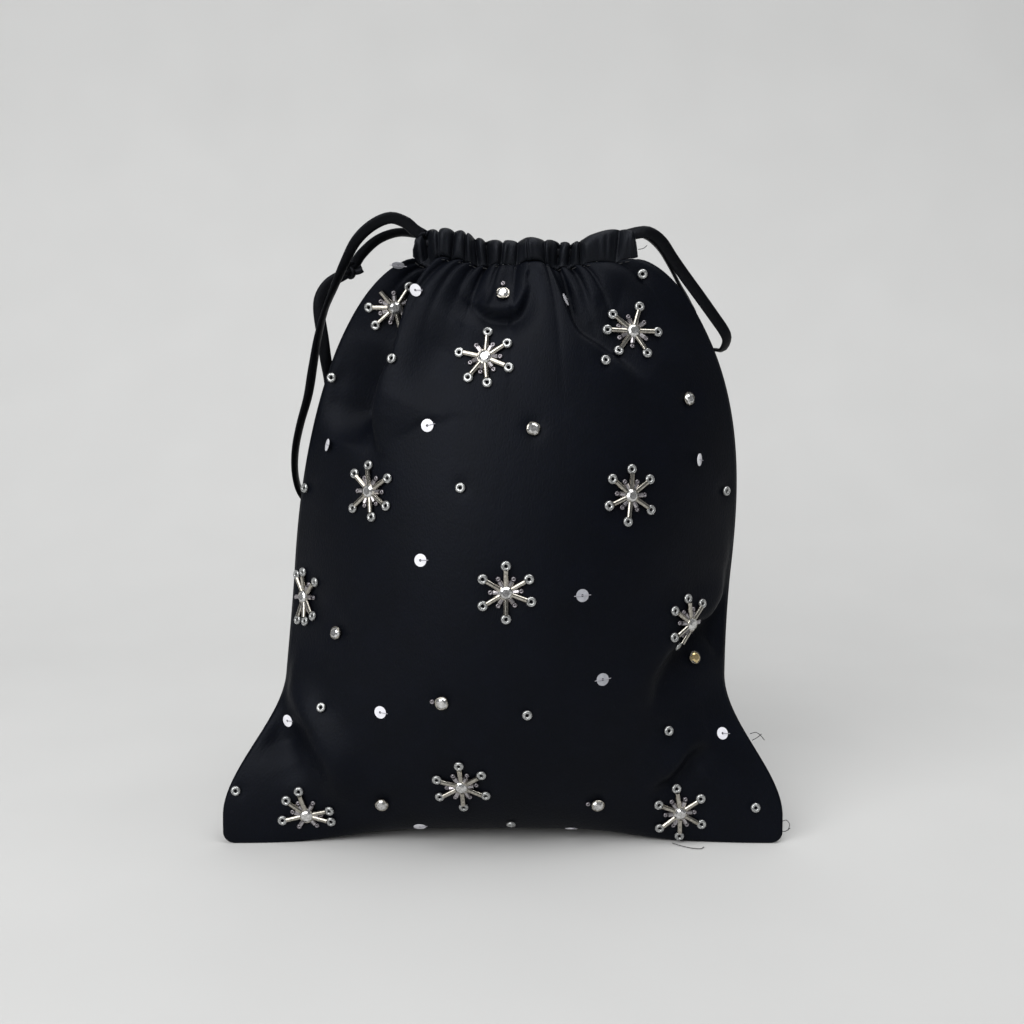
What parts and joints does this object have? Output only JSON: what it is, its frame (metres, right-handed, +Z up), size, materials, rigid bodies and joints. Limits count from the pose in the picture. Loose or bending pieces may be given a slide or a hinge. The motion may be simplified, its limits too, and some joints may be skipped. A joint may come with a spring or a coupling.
{
  "type": "drawstring pouch",
  "caption": "Soft black satin evening pouch with a gathered casing, a looped drawstring at each side and hand-sewn snowflakes, stones and sequins over its front.",
  "frame": {"origin": "on the floor, under the middle of the pouch's width and depth", "axes": "+Z up, the beaded front faces -Y, +X to the right of someone facing the front"},
  "size_m": [0.2, 0.0931, 0.2209],
  "materials": {
    "satin": "black satin with a soft sheen",
    "cord": "flat black satin cord",
    "crystal": "cut stones in silver cups with silver-lined bugle beads",
    "glass": "clear glass beads",
    "sequin": "pearly white sequins"
  },
  "bodies": {
    "root": {"front_panel": "satin", "back_panel": "satin", "front_casing": "satin", "back_casing": "satin", "left_drawstring": "cord", "right_drawstring": "cord", "snowflake_01": "crystal", "snowflake_02": "crystal", "snowflake_03": "crystal", "snowflake_04": "crystal", "snowflake_05": "crystal", "snowflake_06": "crystal", "snowflake_07": "crystal", "snowflake_08": "crystal", "snowflake_09": "crystal", "snowflake_10": "crystal", "snowflake_11": "crystal", "rhinestone_01": "crystal", "rhinestone_02": "crystal", "rhinestone_03": "crystal", "rhinestone_04": "crystal", "rhinestone_05": "crystal", "rhinestone_06": "crystal", "rhinestone_07": "crystal", "rhinestone_08": "crystal", "ring_bead_01": "glass", "ring_bead_02": "glass", "ring_bead_03": "glass", "ring_bead_04": "glass", "ring_bead_05": "glass", "ring_bead_06": "glass", "ring_bead_07": "glass", "ring_bead_08": "glass", "ring_bead_09": "glass", "ring_bead_10": "glass", "ring_bead_11": "glass", "ring_bead_12": "glass", "ring_bead_13": "glass", "sequin_01": "sequin", "sequin_02": "sequin", "sequin_03": "sequin", "sequin_04": "sequin", "sequin_05": "sequin", "sequin_06": "sequin", "sequin_07": "sequin", "sequin_08": "sequin", "sequin_09": "sequin", "sequin_10": "sequin", "sequin_11": "sequin", "sequin_12": "sequin", "sequin_13": "sequin", "sequin_14": "sequin", "seed_bead_01": "glass", "seed_bead_02": "glass", "seed_bead_03": "glass"}
  },
  "joints": []
}
